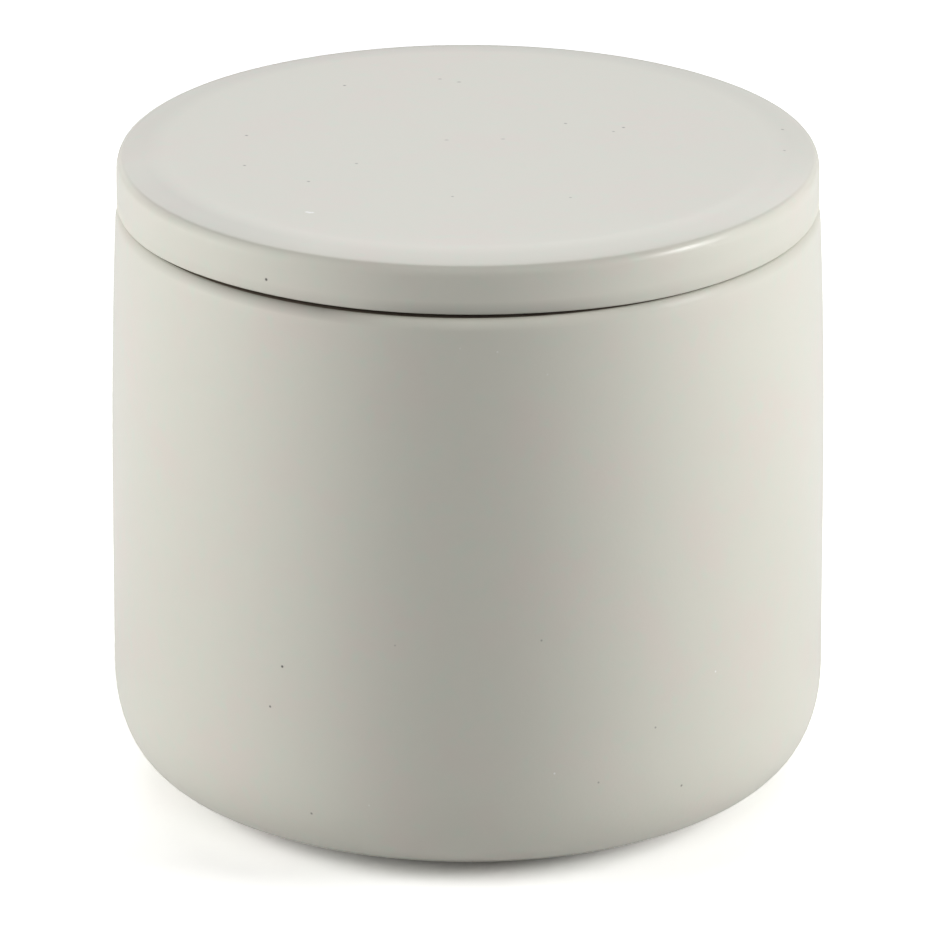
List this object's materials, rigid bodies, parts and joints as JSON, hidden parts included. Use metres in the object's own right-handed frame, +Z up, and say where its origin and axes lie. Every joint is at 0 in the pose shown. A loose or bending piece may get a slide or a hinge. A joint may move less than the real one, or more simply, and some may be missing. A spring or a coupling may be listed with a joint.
{
  "type": "lidded box",
  "caption": "Round glazed stoneware box: a softly barrelled pot with a full rounded base corner and a flat lift-off lid held by a ring under it.",
  "frame": {"origin": "centre of the foot ring's resting face, at the bottom of the pot", "axes": "+Z up along the turning axis of the pot and the lid; +X and +Y lie in the resting face, and the turned shape has no front"},
  "size_m": [0.1, 0.1, 0.0924],
  "materials": {
    "pot_glaze": "satin pale grey-beige glaze",
    "lid_glaze": "satin pale grey-beige glaze"
  },
  "bodies": {
    "pot": {"pot": "pot_glaze"},
    "lid": {"lid": "lid_glaze"}
  },
  "joints": [
    {"name": "lid_lift", "type": "slide", "parent": "pot", "child": "lid", "axis": [0, 0, 1], "range_m": [0, 0.1]}
  ]
}
